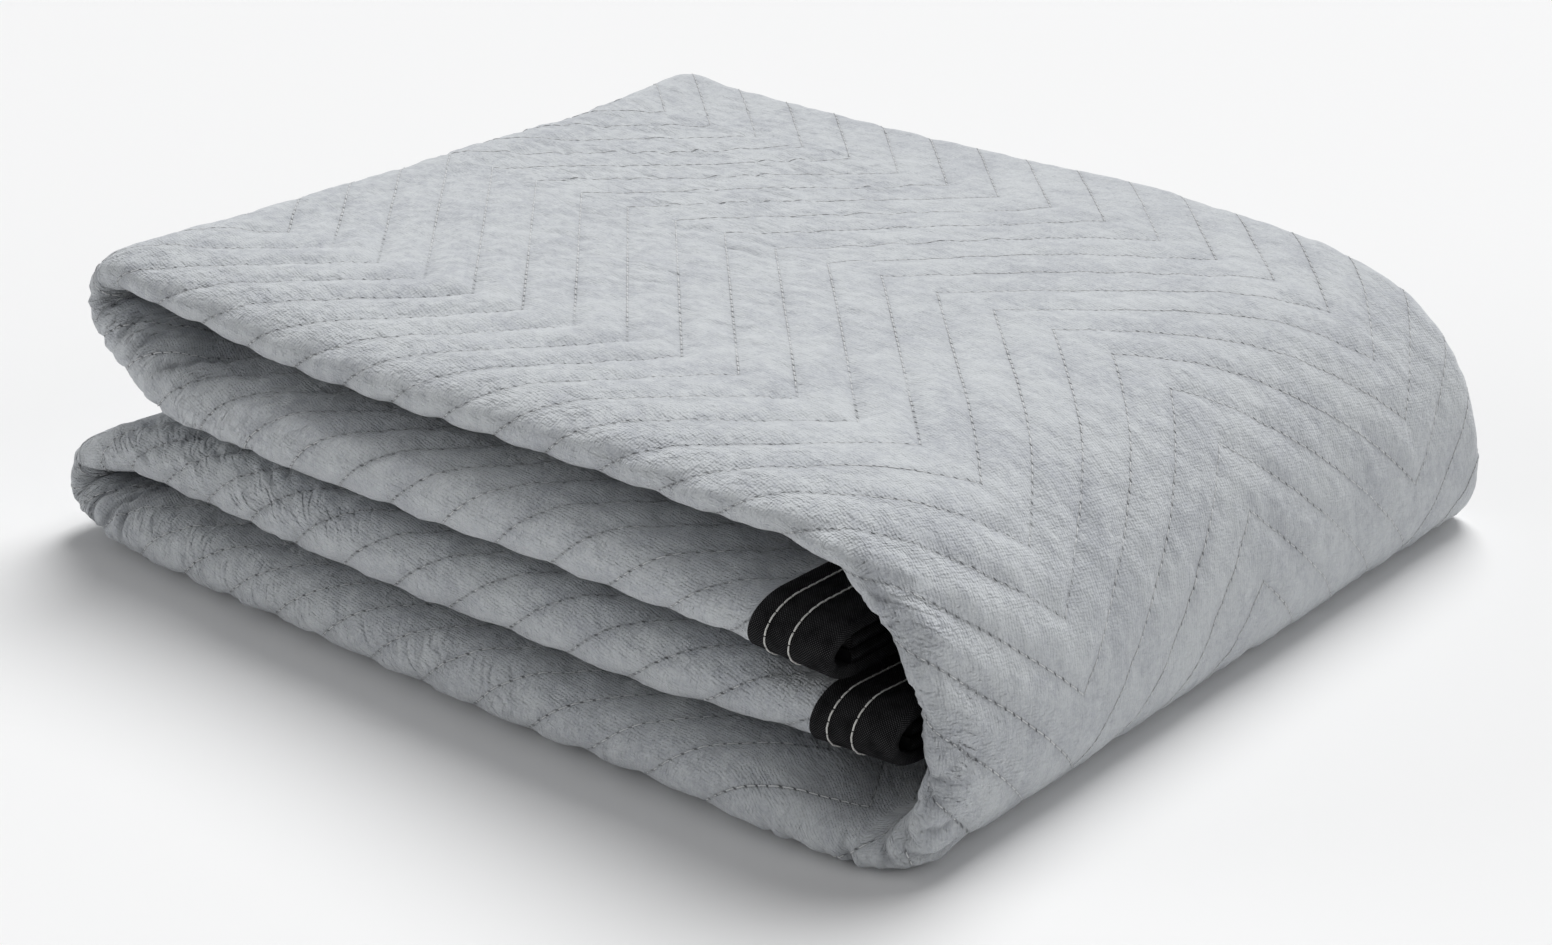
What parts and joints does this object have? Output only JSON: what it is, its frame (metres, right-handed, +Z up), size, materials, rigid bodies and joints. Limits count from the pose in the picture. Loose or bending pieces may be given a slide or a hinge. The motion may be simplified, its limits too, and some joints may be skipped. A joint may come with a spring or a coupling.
{
  "type": "folded quilted moving blanket",
  "caption": "Quilted moving blanket folded into a flat stack of layers, with black bound ends tucked in at the right.",
  "frame": {"origin": "on the resting surface, under the middle of the folded blanket's box", "axes": "+X along the longer side, from the two left folds to the wrap at the right, where the bound ends lie inside; +Y across the stack, from the near long side to the back; +Z up"},
  "size_m": [0.5334, 0.4642, 0.1383],
  "materials": {
    "quilted_cloth": "light grey non-woven felt, quilted in zigzag rows",
    "binding_tape": "black woven tape with two rows of off-white stitches"
  },
  "bodies": {
    "root": {"quilted_cloth": "quilted_cloth", "end_binding_upper": "binding_tape", "end_binding_lower": "binding_tape"}
  },
  "joints": []
}
